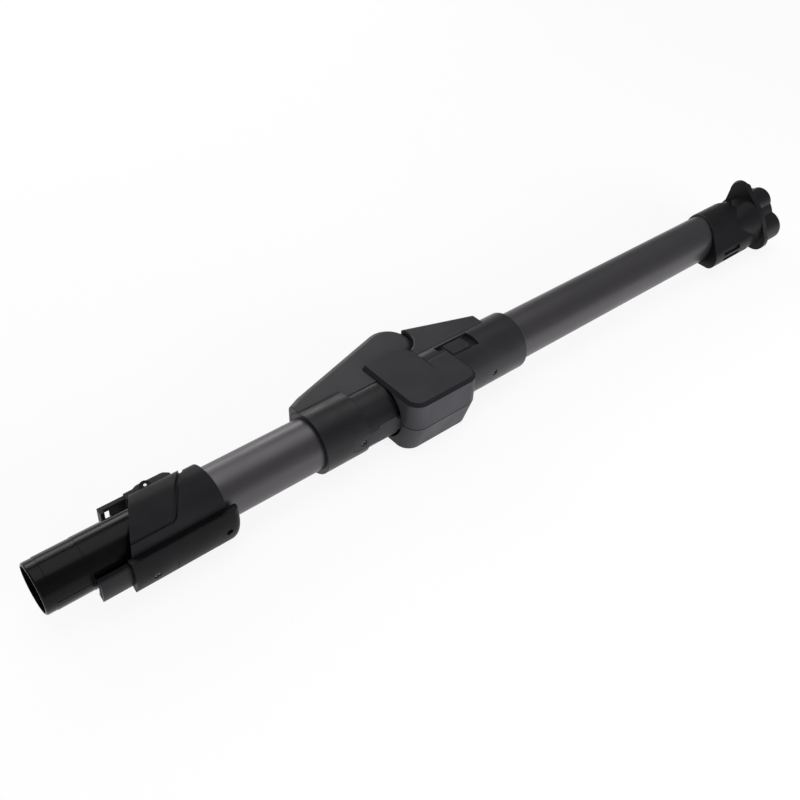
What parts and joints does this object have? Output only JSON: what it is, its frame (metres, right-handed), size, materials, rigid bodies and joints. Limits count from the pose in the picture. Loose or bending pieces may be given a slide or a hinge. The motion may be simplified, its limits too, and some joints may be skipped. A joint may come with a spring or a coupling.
{
  "type": "flexible vacuum wand",
  "caption": "Straight vacuum cleaner wand that folds at a latched knuckle joint, with metal tubes, an inner bellows hose, a plug end with a release lever and a lobed socket end.",
  "frame": {"origin": "centre of the plug pipe's tip, on the wand's axis", "axes": "+X along the wand towards the socket end, +Z along the folding hinge's axis and up as the wand lies, +Y towards the hinge and the release lever, so -Y is the side of the latch box and the contact pods"},
  "size_m": [0.669, 0.0828, 0.0584],
  "materials": {
    "tube_aluminium": "dark warm-grey satin anodised",
    "shell_plastic": "near-black, fine satin grain",
    "box_plastic": "charcoal, fine satin grain",
    "pipe_plastic": "smooth glossy black",
    "socket_plastic": "near-black satin",
    "latch_plastic": "black satin",
    "hose_rubber": "matte black",
    "pin_steel": "plain bright steel",
    "screw_steel": "blackened",
    "contact_brass": "plain"
  },
  "bodies": {
    "socket_half": {"bellows_hose": "hose_rubber", "socket_hose_cuff": "hose_rubber", "socket_joint_sleeve": "shell_plastic", "socket_hinge_cover": "shell_plastic", "hinge_pin": "pin_steel", "latch_box_upper": "box_plastic", "latch_box_lower": "box_plastic", "pawl_pin": "pin_steel", "socket_tube": "tube_aluminium", "socket_end_sleeve": "socket_plastic", "socket_collar": "socket_plastic", "socket_seal": "hose_rubber", "socket_contacts": "contact_brass", "socket_screws": "screw_steel"},
    "plug_half": {"plug_pipe": "pipe_plastic", "plug_sleeve": "shell_plastic", "plug_side_panels": "shell_plastic", "lever_pin": "pin_steel", "lever_spring": "pin_steel", "plug_pod": "shell_plastic", "plug_shroud": "latch_plastic", "plug_contacts": "contact_brass", "plug_tube": "tube_aluminium", "plug_joint_sleeve": "shell_plastic", "lock_tongue": "box_plastic", "plug_hinge_cover": "shell_plastic", "plug_hose_cuff": "hose_rubber", "plug_screws": "screw_steel"},
    "release_lever": {"release_lever": "latch_plastic"},
    "release_slider": {"release_slider": "latch_plastic"},
    "lock_pawl": {"lock_pawl": "latch_plastic"}
  },
  "joints": [
    {"name": "bend", "type": "hinge", "parent": "socket_half", "child": "plug_half", "pos_m": [0.2715, 0.031, 0], "axis": [0, 0, -1], "range_deg": [0, 90], "deforming": ["bellows_hose"]},
    {"name": "release_press", "type": "hinge", "parent": "plug_half", "child": "release_lever", "pos_m": [0.0788, 0.02, 0.00281], "axis": [0, 0.1392, -0.9903], "range_deg": [0, 6], "stiffness_Nm_per_rad": 0.3, "springref_deg": -5.73, "deforming": ["lever_spring"]},
    {"name": "unlock_slide", "type": "slide", "parent": "socket_half", "child": "release_slider", "axis": [1, 0, 0], "range_m": [0, 0.004], "stiffness_N_per_m": 300, "springref_m": -0.004},
    {"name": "pawl_turn", "type": "hinge", "parent": "socket_half", "child": "lock_pawl", "pos_m": [0.288, -0.027, 0], "axis": [0, 0, 1], "range_deg": [0, 2.5]}
  ],
  "couplings": [
    {"joint": "pawl_turn", "follows": "unlock_slide", "rad_per_m": 10.256}
  ]
}
